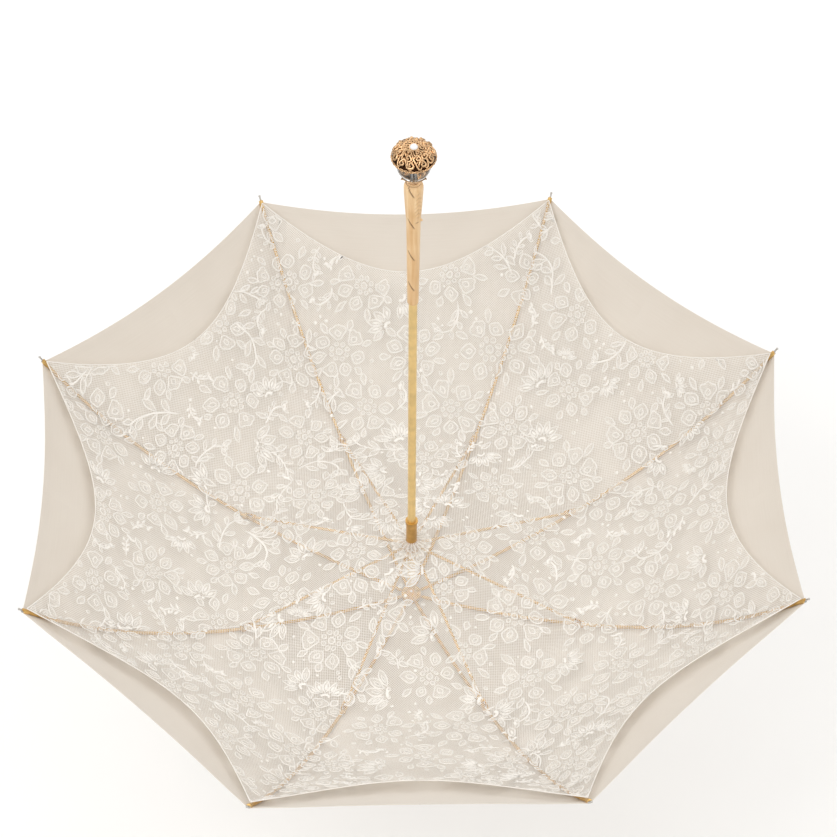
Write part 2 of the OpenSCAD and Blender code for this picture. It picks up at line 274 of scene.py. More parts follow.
def cloth_patch(bm, flat, k, w_start, w_end, off, cols, rows, reach=1.0):
    """Adds the cloth a rib carries, between two shares of the way from crown to hem."""
    made = bmesh.ops.create_grid(bm, x_segments=cols, y_segments=rows, size=1)["verts"]
    for v in made:
        side, w = v.co.x, w_start + (w_end - w_start) * (v.co.y + 1) / 2
        r = hole_r + (rim_r - hole_r) * w
        share = 1 - abs(side) * min(1, reach / (r * math.sin(HALF)))
        r = hole_r + (hem_r(share, rim_r, canopy_dip) - hole_r) * w
        billow = 0.0018 * (1 - share * share) * math.sin(math.pi * w)
        # the seam along the rib draws the cloth into small puckers near the hem
        pucker = 0.0009 * math.cos((1 - share) * 9) * share**3 * math.sin(w * 40) * w**4
        radial, z = beside(r, off - billow + pucker)
        turn = HALF if side >= 0 else -HALF
        lateral = -math.copysign(share, side) * radial * math.sin(HALF)
        v.co = across_gore(azimuth(k) + turn, radial, z, lateral)
        flat[v] = (math.copysign(1 - share, side) * r * math.sin(HALF), w * rim_r * 1.14)
    return made


# Bands of each panel, from the crown to the hem: where each ends, its rows, and how narrow it
# gathers as the ribs close, since the closed ribs stand closest together near their tips
bands = ((0.20, 12, 0.41), (0.34, 9, 0.36), (0.48, 9, 0.31), (0.62, 8, 0.26), (0.74, 7, 0.215),
         (0.85, 7, 0.165), (0.93, 5, 0.115), (1.0, 5, 0.075))
for k in RIBS:
    w_start = 0
    for w_end, rows, keep in bands:
        bm = bmesh.new()
        flat = {}
        cloth_patch(bm, flat, k, w_start, w_end, -cloth_gap, 28, rows)
        write_uv(bm, flat)
        bmesh.ops.recalc_face_normals(bm, faces=bm.faces)
        name_end = f"{k}_to_{round(w_end * 100)}"
        band = smooth(add_object(f"canopy_{name_end}", bm, cloth))
        bm = bmesh.new()
        flat = {}
        if w_end == 1:
            cloth_patch(bm, flat, k, 0.987, 1, -cloth_gap + cloth_thick, 28, 3)
        cloth_patch(bm, flat, k, max(0.01, w_start), min(0.998, w_end), -cloth_gap - 0.0005, 6, rows,
                    seam_half)
        write_uv(bm, flat)
        bmesh.ops.recalc_face_normals(bm, faces=bm.faces)
        seam = smooth(add_object(f"canopy_seam_{name_end}", bm, cloth))
        for piece in (band, seam):
            thicken(piece, cloth_thick)
            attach(piece, f"rib_{k}")
            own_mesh(piece)
        near, far = (hole_r + (rim_r - hole_r) * w for w in (w_start, w_end))
        long = 1.03 * math.hypot(far - near, height(far) - height(near))
        w_start = w_end
    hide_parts(f"canopy_panel_{k}")


# Lace lining: a fine net with corded flowers, leaves and rings of small berries worked on it.
# It is cut in gores too, pulled taut between the ribs, so its edge dips far in between tips.
lining_dip = 0.063
lining_out = rim_r - 0.004
lace_off = 0.0040
lace_lift = 0.010
cell = 0.0035
STEPS = 400


def lining_height(r, share, off):
    """Down the stretchers and up the ribs, and rounder at the crease midway between ribs."""
    down = joint_z + off + (joint_r - r) * stretch_tan
    up = height(r) + off / math.cos(slope(r))
    round_off = 0.0012 + 0.006 * (1 - share * share)
    return (down + up) / 2 + math.hypot((down - up) / 2, round_off)


# Lengths measured on the cloth, from the gathered centre out, for each step of radius
radius_step = (lining_out + 0.02 - hole_r) / STEPS
lengths = [0.0]
for i in range(STEPS):
    rise = (lining_height(hole_r + (i + 1) * radius_step, 1, lace_off)
            - lining_height(hole_r + i * radius_step, 1, lace_off))
    lengths.append(lengths[-1] + math.hypot(radius_step * math.cos(HALF), rise))


def radius_at(length):
    """The radius that a length along the cloth, from its gathered centre, reaches."""
    low, high = 0, STEPS
    while high - low > 1:
        mid = (low + high) // 2
        if lengths[mid] <= length:
            low = mid
        else:
            high = mid
    part = (length - lengths[low]) / (lengths[high] - lengths[low])
    return hole_r + (low + part) * radius_step


def length_at(r):
    i = min(STEPS - 1, max(0, int((r - hole_r) / radius_step)))
    return lengths[i] + (lengths[i + 1] - lengths[i]) * ((r - hole_r) / radius_step - i)


joint_length = length_at(joint_r)


def lace_place(gore_angle, side, length, rise):
    """Where a point of the flat lace lies on the parasol, with rise over the net."""
    r = radius_at(max(0.0, length))
    share = min(1.0, abs(side) / (r * math.sin(HALF)))
    out = max(0.0, (r - joint_r) / (rim_r - joint_r))
    z = lining_height(r, share, lace_off) + rise + lace_lift * out * (1 - share * share)
    return across_gore(gore_angle, r, z, side)


def inside_edge(side, length, margin):
    """Whether a point of the flat lace is on the lining, and a margin from its edge."""
    if length < 0.004:
        return False
    r = radius_at(length)
    share = min(1.0, abs(side) / (r * math.sin(HALF)))
    return r < hem_r(share, lining_out, lining_dip) - margin


# Motif outlines, each a closed loop of points on the flat lace
def ring(centre, radius, count=9):
    turn = 2 * math.pi / count
    return [centre + radius * Vector((math.cos(i * turn), math.sin(i * turn))) for i in range(count)]


def petal(root, angle, long, wide, point=1.0, bend=0.0, count=7):
    """A petal or leaf: point over 1 draws the tip out, bend curves its middle line."""
    ahead = Vector((math.cos(angle), math.sin(angle)))
    aside = Vector((-ahead.y, ahead.x))
    edge = []
    for way in (1, -1):
        for i in range(count + 1):
            t = i / count if way > 0 else 1 - i / count
            if way < 0 and i in (0, count):
                continue
            half_width = wide / 2 * math.sin(math.pi * t**point) ** 0.8 if 0 < t < 1 else 0
            edge.append(root + ahead * long * t + aside * (way * half_width + bend * t * t * long))
    return edge


def scallop(root, angle, long, wide, lobes=3):
    """A broad petal whose outer edge has round lobes."""
    ahead = Vector((math.cos(angle), math.sin(angle)))
    aside = Vector((-ahead.y, ahead.x))
    edge = [root - aside * wide * 0.12]
    steps = lobes * 4
    for i in range(steps + 1):
        a = math.radians(-78 + 156 * i / steps)
        swell = 1 + 0.13 * abs(math.sin(lobes * math.pi * i / steps))
        edge.append(root + ahead * long * (0.45 + 0.5 * math.cos(a) * swell)
                    + aside * wide * 0.5 * math.sin(a) * swell)
    edge.append(root + aside * wide * 0.12)
    return edge


def flower(centre, size, angle, dice):
    """A full-blown flower: a ring of berries, round petals, and pointed leaves between them."""
    shapes = [ring(centre, size * 0.12)]
    for i in range(8):
        a = angle + 2 * math.pi * i / 8
        shapes.append(ring(centre + size * 0.25 * Vector((math.cos(a), math.sin(a))), size * 0.082, 8))
    petals = dice.choice((6, 7))
    for i in range(petals):
        a = angle + 2 * math.pi * (i + dice.uniform(0.4, 0.6)) / petals
        ahead = Vector((math.cos(a), math.sin(a)))
        root = centre + size * 0.37 * ahead
        long = size * dice.uniform(0.46, 0.56)
        if i % 3:
            shapes.append(petal(root, a, long, size * 0.44, 1.0))
            shapes.append(petal(root + ahead * long * 0.2, a, long * 0.5, size * 0.17, 1.0, 0, 5))
        else:
            shapes.append(scallop(root, a, long, size * 0.56))
            shapes.append(petal(root + ahead * long * 0.2, a, long * 0.5, size * 0.2, 1.0, 0, 5))
        a += math.pi / petals
        root = centre + size * 0.70 * Vector((math.cos(a), math.sin(a)))
        shapes.append(petal(root, a, size * dice.uniform(0.34, 0.5), size * 0.22, 1.2, 0, 6))
    return shapes


class Band(list):
    """The two sides of a narrow band, out along the left and back along the right."""


def ribbon(path, wide):
    """A narrow band along a path, tapered at both ends."""
    left, right = [], []
    for i, p in enumerate(path):
        ahead = (path[min(i + 1, len(path) - 1)] - path[max(i - 1, 0)]).normalized()
        aside = Vector((-ahead.y, ahead.x)) * wide / 2 * (0.35 if i in (0, len(path) - 1) else 1)
        left.append(p + aside)
        right.append(p - aside)
    return Band(left + right[::-1])


def vine(root, angle, size, dice):
    """A curling double line with leaves growing from both sides and berries at its tip."""
    steps = 12
    bend = dice.choice((-1, 1)) * dice.uniform(0.10, 0.28)
    path, heading = [root], angle
    for i in range(steps):
        path.append(path[-1] + size / steps * Vector((math.cos(heading), math.sin(heading))))
        heading += bend * (0.3 + i / steps)
    shapes = [ribbon(path, 0.0021)]
    for i in range(2, steps, 3):
        way = 1 if i % 2 else -1
        step = path[i + 1] - path[i]
        facing = math.atan2(step.y, step.x)
        for side in (way, -way) if i % 4 else (way,):
            out = facing + side * dice.uniform(0.6, 1.0)
            start = path[i] + 0.0012 * Vector((math.cos(out), math.sin(out)))
            shapes.append(petal(start, out, size * dice.uniform(0.24, 0.34), size * 0.13, 1.15, 0, 6))
    for turn in (-0.9, 0, 0.9):
        spot = path[-1] + size * 0.075 * Vector((math.cos(heading + turn), math.sin(heading + turn)))
        shapes.append(ring(spot, size * 0.042 + 0.0006, 8))
    return shapes


def fan(root, angle, size, dice):
    """A fan of five round petals over a row of berries."""
    shapes = []
    for i in range(5):
        a = angle + (i - 2) * 0.52
        ahead = Vector((math.cos(a), math.sin(a)))
        shapes.append(petal(root + ahead * size * 0.28, a, size * 0.72, size * 0.34, 1.0, 0, 6))
        shapes.append(petal(root + ahead * size * 0.42, a, size * 0.34, size * 0.13, 1.0, 0, 4))
        shapes.append(ring(root + ahead * size * 0.18, size * 0.075, 7))
    return shapes


# The noise would start from the clock if it weren't given a seed
noise.seed_set(5)


def wander(p):
    """Hand-drawn unevenness, the same for every outline that passes a spot."""
    at = Vector((p.x * 26, p.y * 26, 3.7))
    fine = at * 5
    shift = noise.noise_vector(at) * 0.0042 + noise.noise_vector(fine) * 0.0011
    return Vector((p.x + shift.x, p.y + shift.y))


def pull_in(p):
    """Moves a point that lies past the lining's edge back on to it."""
    r = radius_at(min(p.y, lengths[-1] - 0.0005))
    share = min(1.0, abs(p.x) / (r * math.sin(HALF)))
    return Vector((p.x, min(p.y, length_at(hem_r(share, lining_out, lining_dip) - 0.0008))))


def cells(shape):
    """The small squares of the flat lace that a shape covers, to keep shapes apart."""
    middle = sum(shape, Vector((0, 0))) / len(shape)
    spots = [middle + (p - middle) * s for p in shape for s in (0.95, 0.6, 0.25)]
    return {(round(p.x / cell), round(p.y / cell)) for p in spots}


def lace_shapes(seed):
    """All the motif outlines of one gore, laid without overlaps."""
    dice = random.Random(seed)
    taken = set()
    kept = []

    def lay(shapes, overlap):
        shapes = [type(shape)(wander(p) for p in shape) for shape in shapes]
        covered = set().union(*(cells(s) for s in shapes))
        if len(covered & taken) > overlap * len(covered):
            return
        for shape in shapes:
            if len(cells(shape) & taken) > 0.45 * len(cells(shape)):
                continue
            middle = sum(shape, Vector((0, 0))) / len(shape)
            if inside_edge(middle.x, middle.y, 0.003):
                kept.append(type(shape)(pull_in(p) for p in shape))
        taken.update(covered)

    shift = dice.uniform(-0.03, 0.03)
    row = 0
    length = 0.040 + dice.uniform(0, 0.03)
    while length < lengths[-1]:
        side = -0.24 + shift + (row % 2) * 0.052
        while side < 0.24:
            spot = Vector((side + dice.uniform(-0.012, 0.012), length + dice.uniform(-0.010, 0.010)))
            reach = radius_at(min(spot.y, lengths[-1] - 0.001)) * math.sin(HALF) + 0.02
            if abs(spot.x) < reach:
                lay(flower(spot, dice.uniform(0.036, 0.046), dice.uniform(0, 6.3), dice), 0.12)
            side += 0.104
        length += 0.084
        row += 1
    for make, tries, low, high, overlap in (
        (fan, 160, 0.026, 0.034, 0.10),
        (vine, 420, 0.050, 0.075, 0.16),
        (vine, 500, 0.026, 0.045, 0.12),
        (fan, 160, 0.014, 0.020, 0.05),
    ):
        for _ in range(tries):
            spot = Vector((dice.uniform(-0.2, 0.2), dice.uniform(0.008, lengths[-1] - 0.002)))
            if abs(spot.x) < radius_at(spot.y) * math.sin(HALF) + 0.01:
                lay(make(spot, dice.uniform(0, 6.3), dice.uniform(low, high), dice), overlap)
    for _ in range(500):
        spot = Vector((dice.uniform(-0.2, 0.2), dice.uniform(0.006, lengths[-1] - 0.002)))
        if abs(spot.x) < radius_at(spot.y) * math.sin(HALF) + 0.004:
            lay([ring(spot, dice.uniform(0.0016, 0.0030), 7)], 0.0)
    return kept


def square_net(tree, uv, holes_per_metre, threads_from, turned=0.0):
    """A net of crossing threads with open holes: 1 on a thread and 0 in a hole."""
    laid = add_node(tree, "Mapping", {"Vector": uv.outputs[0], "Rotation": (0, 0, turned),
                                      "Scale": (holes_per_metre, holes_per_metre, 1.0)})
    split = add_node(tree, "SeparateXYZ", {0: laid.outputs[0]})
    threads = []
    for i in (0, 1):
        from_middle = maths(tree, "SUBTRACT", maths(tree, "FRACT", split.outputs[i]), 0.5)
        threads.append(maths(tree, "GREATER_THAN", maths(tree, "ABSOLUTE", from_middle), threads_from))
    return maths(tree, "MAXIMUM", threads[0], threads[1])


net, tree, shader = new_material("lace_net", (0.93, 0.90, 0.85), 0.85)
uv = add_node(tree, "UVMap")
tree.links.new(square_net(tree, uv, 470.0, 0.405, math.radians(45)), shader.inputs["Alpha"])
cloudy = add_node(tree, "TexNoise", {"Vector": uv.outputs[0], "Scale": 40.0})
tree.links.new(tone(tree, cloudy.outputs[0], (0.95, 0.92, 0.87), (0.99, 0.97, 0.93)),
               shader.inputs["Base Color"])

clothwork, tree, shader = new_material("lace_clothwork", (0.92, 0.88, 0.82), 0.8)
uv = add_node(tree, "UVMap")
close_net = square_net(tree, uv, 1100.0, 0.39)
tree.links.new(maths(tree, "MAXIMUM", close_net, 0.10), shader.inputs["Alpha"])
cloudy = add_node(tree, "TexNoise", {"Vector": uv.outputs[0], "Scale": 160.0, "Detail": 3.0})
tree.links.new(tone(tree, cloudy.outputs[0], (0.82, 0.775, 0.715), (0.90, 0.865, 0.81)),
               shader.inputs["Base Color"])

cord, tree, shader = new_material("lace_cord", (0.97, 0.95, 0.91), 0.7)
shader.inputs["Sheen Weight"].default_value = 0.3
coords = add_node(tree, "TexCoord")
twist = add_node(tree, "TexNoise", {"Vector": coords.outputs["Object"], "Scale": 1400.0, "Detail": 2.0})
tree.links.new(tone(tree, twist.outputs[0], (0.84, 0.80, 0.745), (0.92, 0.89, 0.845)),
               shader.inputs["Base Color"])
bump = add_node(tree, "Bump", {"Height": twist.outputs[0], "Strength": 0.3, "Distance": 0.0004})
tree.links.new(bump.outputs[0], shader.inputs["Normal"])

CLOTHWORK, CORD = 0, 1


def motif_gore(g):
    """The corded motifs of gore g: each outline is a face, ridged round its edge."""
    bm = bmesh.new()
    shapes = lace_shapes(70 + g)
    for shape in shapes:
        if not isinstance(shape, Band):
            bm.faces.new([bm.verts.new((p.x, p.y, 0)) for p in shape])
    bmesh.ops.recalc_face_normals(bm, faces=bm.faces)
    for face in bm.faces:
        if face.normal.z < 0:
            face.normal_flip()
    by_width = {0: [], 1: [], 2: []}
    for face in bm.faces:
        face.material_index = CLOTHWORK
        breadth = face.calc_area() / face.calc_perimeter()
        by_width[0 if breadth > 0.0019 else 1 if breadth > 0.0011 else 2].append(face)
    for group, steps in ((0, ((0.0009, 0.0010), (0.0007, -0.0008))),
                         (1, ((0.0007, 0.0008), (0.0005, -0.0005))),
                         (2, ((0.0004, 0.0007), (0.0002, 0.0001)))):
        for width, lift in steps:
            ridge = bmesh.ops.inset_individual(bm, faces=by_width[group], thickness=width, depth=lift)
            for face in ridge["faces"]:
                face.material_index = CORD
    for face in by_width[2]:
        face.material_index = CORD
    for shape in shapes:
        if isinstance(shape, Band):
            before = None
            for left, right in zip(shape, reversed(shape[len(shape) // 2:])):
                middle = (left + right) / 2
                row = [bm.verts.new((p.x, p.y, rise)) for p, rise in
                       ((left, 0), (middle, 0.0009), (right, 0))]
                for i in (0, 1) if before else ():
                    quad = bm.faces.new((before[i], before[i + 1], row[i + 1], row[i]))
                    quad.material_index = CORD
                    quad.normal_update()
                    if quad.normal.z < 0:
                        quad.normal_flip()
                before = row
    everything = list(bm.verts) + list(bm.edges) + list(bm.faces)
    bmesh.ops.bisect_plane(bm, geom=everything, plane_co=(0, joint_length, 0), plane_no=(0, 1, 0))
    flat = {v: (v.co.x, v.co.y) for v in bm.verts}
    write_uv(bm, flat)
    for v in bm.verts:
        v.co = lace_place(GORE * g, v.co.x, v.co.y, 0.0004 + v.co.z)
    return bm


def net_gore(g):
    """The net ground of gore g, from the gathered centre to the dipped edge."""
    bm = bmesh.new()
    flat = {}
    for start, end, rows in ((0, 1, 10), (1, 2, 18)):
        made = bmesh.ops.create_grid(bm, x_segments=24, y_segments=rows, size=1)["verts"]
        for v in made:
            w = (v.co.y + 1) / 2
            edge = hem_r(abs(v.co.x), lining_out, lining_dip)
            r = hole_r + (joint_r - hole_r) * w if start == 0 else joint_r + (edge - joint_r) * w
            side = v.co.x * r * math.sin(HALF)
            flat[v] = (side, length_at(r))
            v.co = lace_place(GORE * g, side, length_at(r), 0)
    write_uv(bm, flat)
    bmesh.ops.remove_doubles(bm, verts=bm.verts, dist=1e-6)
    return bm


def cut(bm, point, normal):
    """Keeps what lies on the normal's side of a plane."""
    everything = list(bm.verts) + list(bm.edges) + list(bm.faces)
    bmesh.ops.bisect_plane(bm, geom=everything, dist=1e-5, plane_co=point, plane_no=-Vector(normal),
                           clear_outer=True)


def extrude_rim(bm, edges):
    """Extrudes a loop of edges, and gives the new vertices and the new loop."""
    made = bmesh.ops.extrude_edge_only(bm, edges=edges)["geom"]
    return ([g for g in made if isinstance(g, bmesh.types.BMVert)],
            [g for g in made if isinstance(g, bmesh.types.BMEdge)])


def sweep(bm, path, thick, sides=6):
    """Draws a round bar along a path, thinner where thick says so."""
    ring_edges, before = None, None
    for i, p in enumerate(path):
        ahead = (path[min(i + 1, len(path) - 1)] - path[max(i - 1, 0)]).normalized()
        place = Matrix.Translation(p) @ ahead.to_track_quat("Z", "Y").to_matrix().to_4x4()
        place = place @ Matrix.Scale(thick(i / (len(path) - 1)), 4)
        if ring_edges is None:
            made = bmesh.ops.create_circle(bm, segments=sides, radius=1, cap_ends=True,
                                           matrix=place)["verts"]
            ring_edges = list({e for v in made for e in v.link_edges})
        else:
            new_verts, ring_edges = extrude_rim(bm, ring_edges)
            bmesh.ops.transform(bm, matrix=place @ before.inverted(), verts=new_verts)
        before = place
    bmesh.ops.contextual_create(bm, geom=ring_edges)


def pour(part, whole):
    """Adds one bmesh to another, and frees it."""
    scrap = bpy.data.meshes.new("scrap")
    part.to_mesh(scrap)
    part.free()
    whole.from_mesh(scrap)
    bpy.data.meshes.remove(scrap)


def rib_share(make, k):
    """What rib k carries of the gores on both sides of it, as one mesh."""
    whole = bmesh.new()
    for g, way in ((k, 1), (k - 1, -1)):
        bm = gores[make][g % 8].copy()
        cut(bm, (0, 0, 0), along(GORE * g + math.pi / 2) * -way)
        cut(bm, (0, 0, 0), along(azimuth(k) + math.pi / 2) * way)
        pour(bm, whole)
    bmesh.ops.remove_doubles(whole, verts=whole.verts, dist=1e-6)
    return whole


def beyond_crease(bm, way):
    """Keeps the faces outside the crease at the joints, or inside it when way is -1."""
    layer = bm.loops.layers.uv["flat"]
    gone = [f for f in bm.faces
            if (sum(c[layer].uv.y for c in f.loops) / len(f.loops) - joint_length) * way < 0]
    bmesh.ops.delete(bm, geom=gone, context="FACES")


def hem_cord(bm, k):
    """The cord that edges the lining, from the middle of one gore past rib k to the next."""
    path = []
    for g, way in ((k - 1, 1), (k, -1)):
        for i in range(15):
            share = i / 14 if way > 0 else 1 - i / 14
            r = hem_r(share, lining_out, lining_dip)
            path.append(lace_place(GORE * g, way * share * r * math.sin(HALF), length_at(r), 0.0006))
    sweep(bm, path, lambda t: 0.0006, 6)
    for face in bm.faces:
        face.material_index = CORD


gores = {make: [make(g) for g in range(8)] for make in (net_gore, motif_gore)}
for k in RIBS:
    for part, body, way, keep in (("outer", f"rib_{k}", 1, 0.13), ("inner", f"stretcher_{k}", -1, 0.26)):
        for make, title, materials in ((net_gore, "net", (net,)), (motif_gore, "motifs", (clothwork, cord))):
            bm = rib_share(make, k)
            beyond_crease(bm, way)
            if title == "motifs" and part == "outer":
                edging = bmesh.new()
                hem_cord(edging, k)
                pour(edging, bm)
            piece = smooth(add_object(f"lining_{title}_{part}_{k}", bm, *materials))
            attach(piece, body)
            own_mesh(piece)
        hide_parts(f"lining_panel_{k}")
        size = (0.34, 0.30) if part == "outer" else (0.19, 0.24)


# Frame: eight round ribs and their stretchers, drawn from gilt steel rod and riveted. Each
# rib's end has a gilt cup with a steel pin, and a ring of wire holds the ribs at the crown.
def brushed(name, color, roughness, scale=(60.0, 60.0, 700.0), depth=0.10, stain=0.80):
    """A drawn or turned metal, with fine lines along one direction and faint stains."""
    material, tree, shader = new_material(name, color, roughness, 1.0)
    coords = add_node(tree, "TexCoord")
    lines = add_node(tree, "Mapping", {"Vector": coords.outputs["Object"], "Scale": scale})
    scratches = add_node(tree, "TexNoise", {"Vector": lines.outputs[0], "Scale": 4.0, "Detail": 4.0})
    stains = add_node(tree, "TexNoise", {"Vector": coords.outputs["Object"], "Scale": 90.0, "Detail": 3.0})
    dark = tuple(c * stain for c in color)
    light = tuple(min(1.0, c * 1.10) for c in color)
    tree.links.new(tone(tree, stains.outputs[0], dark, light, 0.3, 0.65), shader.inputs["Base Color"])
    rough = maths(tree, "ADD", maths(tree, "MULTIPLY", scratches.outputs[0], 0.25), roughness - 0.12)
    tree.links.new(rough, shader.inputs["Roughness"])
    bump = add_node(tree, "Bump", {"Height": scratches.outputs[0], "Strength": depth, "Distance": 0.0004})
    tree.links.new(bump.outputs[0], shader.inputs["Normal"])
    return material, tree, shader


def finish_node(names, material):
    for name in names:
        piece = bpy.data.objects[name]
        piece.data.materials.clear()
        piece.data.materials.append(material)


gilt = brushed("gilt_steel", (0.72, 0.47, 0.17), 0.42)[0]
steel = brushed("polished_steel", (0.62, 0.60, 0.57), 0.30)[0]
finish_node([f"{word}_{k}" for word in ("rib", "stretcher") for k in RIBS], gilt)
finish_node(["crown_wire", "runner_wire", "top_catch", "bottom_catch", "knob_rod"], steel)

tip_gold, tree, shader = brushed("gilt_tip", (0.78, 0.52, 0.20), 0.34)
coords = add_node(tree, "TexCoord")
flat_reach = add_node(tree, "VectorMath", {0: coords.outputs["Object"], 1: (1, 1, 0)}, operation="MULTIPLY")
reach = add_node(tree, "VectorMath", {0: flat_reach.outputs[0]}, operation="LENGTH")
past_cup = maths(tree, "GREATER_THAN", reach.outputs["Value"], rim_r + 0.0012)
gold_link = shader.inputs["Base Color"].links[0].from_socket
mixed = add_node(tree, "MixRGB", {0: past_cup, 1: gold_link, 2: (0.55, 0.53, 0.50, 1)})
tree.links.new(mixed.outputs[0], shader.inputs["Base Color"])
finish_node([f"rib_tip_{k}" for k in RIBS], tip_gold)


# Shaft, crown and ferrule: a gold-lacquered tube through the whole parasol, with the slotted
# crown disc pressed on it, and a turned gold cap and ferrule on the outside.
shaft_gold = brushed("gold_lacquer", (0.86, 0.66, 0.32), 0.40, (500.0, 500.0, 12.0), 0.05, 0.95)[0]
turned_gold = brushed("turned_gold", (0.76, 0.50, 0.20), 0.32, (30.0, 30.0, 900.0))[0]
finish_node(["shaft"], shaft_gold)
finish_node(["crown_notch", "crown_cap", "ferrule"], turned_gold)


# Crown washer: a small disc of the canopy's cloth, pinked and pleated round the shaft, that
# covers the hole where the gores meet. The cap presses it against the canopy.
washer_low, washer_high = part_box("crown_washer")
shaft_r = 0.00475
bm = bmesh.new()
bmesh.ops.create_circle(bm, segments=96, radius=washer_high[0], matrix=Matrix.Translation(
    (0, 0, washer_low[2] + 0.0001)))
pleat_edge = list(bm.edges)
for share in (0.85, 0.7, 0.55, 0.4):
    new_verts, pleat_edge = extrude_rim(bm, pleat_edge)
    for v in new_verts:
        away = Vector((v.co.x, v.co.y, 0)).normalized()
        v.co = away * (shaft_r + (washer_high[0] - shaft_r) * share) + Vector((0, 0, v.co.z))
for v in bm.verts:
    turn = math.atan2(v.co.y, v.co.x)
    out_share = math.hypot(v.co.x, v.co.y) / washer_high[0]
    v.co.z += 0.0008 * (1 + math.cos(24 * turn)) * out_share
    v.co.xy = v.co.xy * (1 - 0.03 * (1 + math.cos(48 * turn)) * (out_share > 0.95))
flat = {v: (v.co.x, v.co.y) for v in bm.verts}
write_uv(bm, flat)
bmesh.ops.recalc_face_normals(bm, faces=bm.faces)
washer = smooth(add_object("pleated_washer", bm, cloth))
thicken(washer, 0.0004)
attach(washer, "frame")
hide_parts("crown_washer")


# Runner: a darker gilt tube that slides on the shaft. Its slotted disc holds the stretchers,
# and the lace is gathered round it in a ruffle of two layers.
runner_gilt = brushed("runner_gilt", (0.60, 0.36, 0.12), 0.36, (30.0, 30.0, 900.0))[0]
finish_node(["runner"], runner_gilt)
ruffle_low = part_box("lining_rosette")[0]
for layer, (inner_r, outer_r, start_z, drop) in enumerate(((0.0068, 0.0235, 0.0062, 0.0040),
                                                           (0.0066, 0.0170, 0.0085, 0.0032))):
    bm = bmesh.new()
    bmesh.ops.create_circle(bm, segments=144, radius=inner_r,
                            matrix=Matrix.Translation((0, 0, ruffle_low[2] + start_z)))
    frill_edge = list(bm.edges)
    for step in range(1, 9):
        new_verts, frill_edge = extrude_rim(bm, frill_edge)
        t = step / 8
        for v in new_verts:
            turn = math.atan2(v.co.y, v.co.x)
            wave = math.cos(17 * turn + layer * 1.3 + 0.6 * math.sin(5 * turn))
            out = inner_r + (outer_r - inner_r) * t * (1 + 0.10 * math.cos(34 * turn) * t)
            v.co = along(turn) * out + Vector(
                (0, 0, ruffle_low[2] + start_z - drop * t + 0.0022 * wave * t**0.7))
    flat = {v: (math.atan2(v.co.y, v.co.x) * 0.03, math.hypot(v.co.x, v.co.y)) for v in bm.verts}
    write_uv(bm, flat)
    bmesh.ops.recalc_face_normals(bm, faces=bm.faces)
    ruffle = smooth(add_object(f"lace_ruffle_{layer + 1}", bm, clothwork, cord))
    for polygon in ruffle.data.polygons:
        middle = polygon.center
        spoke = math.floor(math.atan2(middle.y, middle.x) / math.radians(2.5))
        if math.hypot(middle.x, middle.y) > outer_r * 0.93 or spoke % 8 == 3:
            polygon.material_index = CORD
    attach(ruffle, "runner")
    if layer == 0:
        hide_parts("lining_rosette")


# Handle: pale hardwood, turned to a taper and then carved. It has slanting knife cuts down its
# front, an ear of small leaves on the right of the thick end, and one thorn below the ear.
handle_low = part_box("handle_stick")[0][2]
taper_long = 0.184
foot_chamfer = 0.0009
swell_from = 0.04
cut_heights = (0.0885, 0.038, -0.013, -0.063)
cut_half = 0.0075
cut_side, ear_side, thorn_side = (math.radians(a) for a in (101, 58, 22))
wood, tree, shader = new_material("honey_wood", (0.80, 0.55, 0.30), 0.46)
shader.inputs["Coat Weight"].default_value = 0.25
shader.inputs["Coat Roughness"].default_value = 0.25
coords = add_node(tree, "TexCoord")
lengthways = add_node(tree, "Mapping", {"Vector": coords.outputs["Object"], "Scale": (260.0, 260.0, 14.0)})
grain = add_node(tree, "TexNoise", {"Vector": lengthways.outputs[0], "Scale": 1.0, "Detail": 5.0,
                                    "Distortion": 0.6})
pores = add_node(tree, "TexNoise", {"Vector": lengthways.outputs[0], "Scale": 5.0, "Detail": 3.0})
figure = add_node(tree, "TexNoise", {"Vector": coords.outputs["Object"], "Scale": 26.0, "Detail": 2.0})
wood_mix = maths(tree, "ADD", maths(tree, "MULTIPLY", grain.outputs[0], 0.65),
                 maths(tree, "MULTIPLY", figure.outputs[0], 0.35))
wood_color = tone(tree, wood_mix, (0.68, 0.40, 0.17), (0.90, 0.65, 0.37), 0.32, 0.68)
# Painted shade: the knife cuts, the grooves between the ear's leaves and the notch are darkened to a
# near-black brown, by the "cut" attribute
painted_groove_shade_fac = add_node(tree, "Attribute", attribute_name="cut").outputs["Fac"]
wood_with_painted_groove_shade = add_node(tree, "MixRGB", {0: painted_groove_shade_fac, 1: wood_color, 2: (0.20, 0.09, 0.03, 1)})
tree.links.new(wood_with_painted_groove_shade.outputs[0], shader.inputs["Base Color"])
bump = add_node(tree, "Bump", {"Height": pores.outputs[0], "Strength": 0.12, "Distance": 0.0004})
tree.links.new(bump.outputs[0], shader.inputs["Normal"])



def turn_on_lathe(bm, profile, steps, closed=False):
    """Turns an outline round the shaft's axis."""
    verts = [bm.verts.new(p) for p in profile]
    edges = [bm.edges.new(pair) for pair in zip(verts, verts[1:])]
    if closed:
        edges.append(bm.edges.new((verts[-1], verts[0])))
    bmesh.ops.spin(bm, geom=verts + edges, cent=(0, 0, 0), axis=(0, 0, 1), angle=2 * math.pi,
                   steps=steps, use_merge=True)


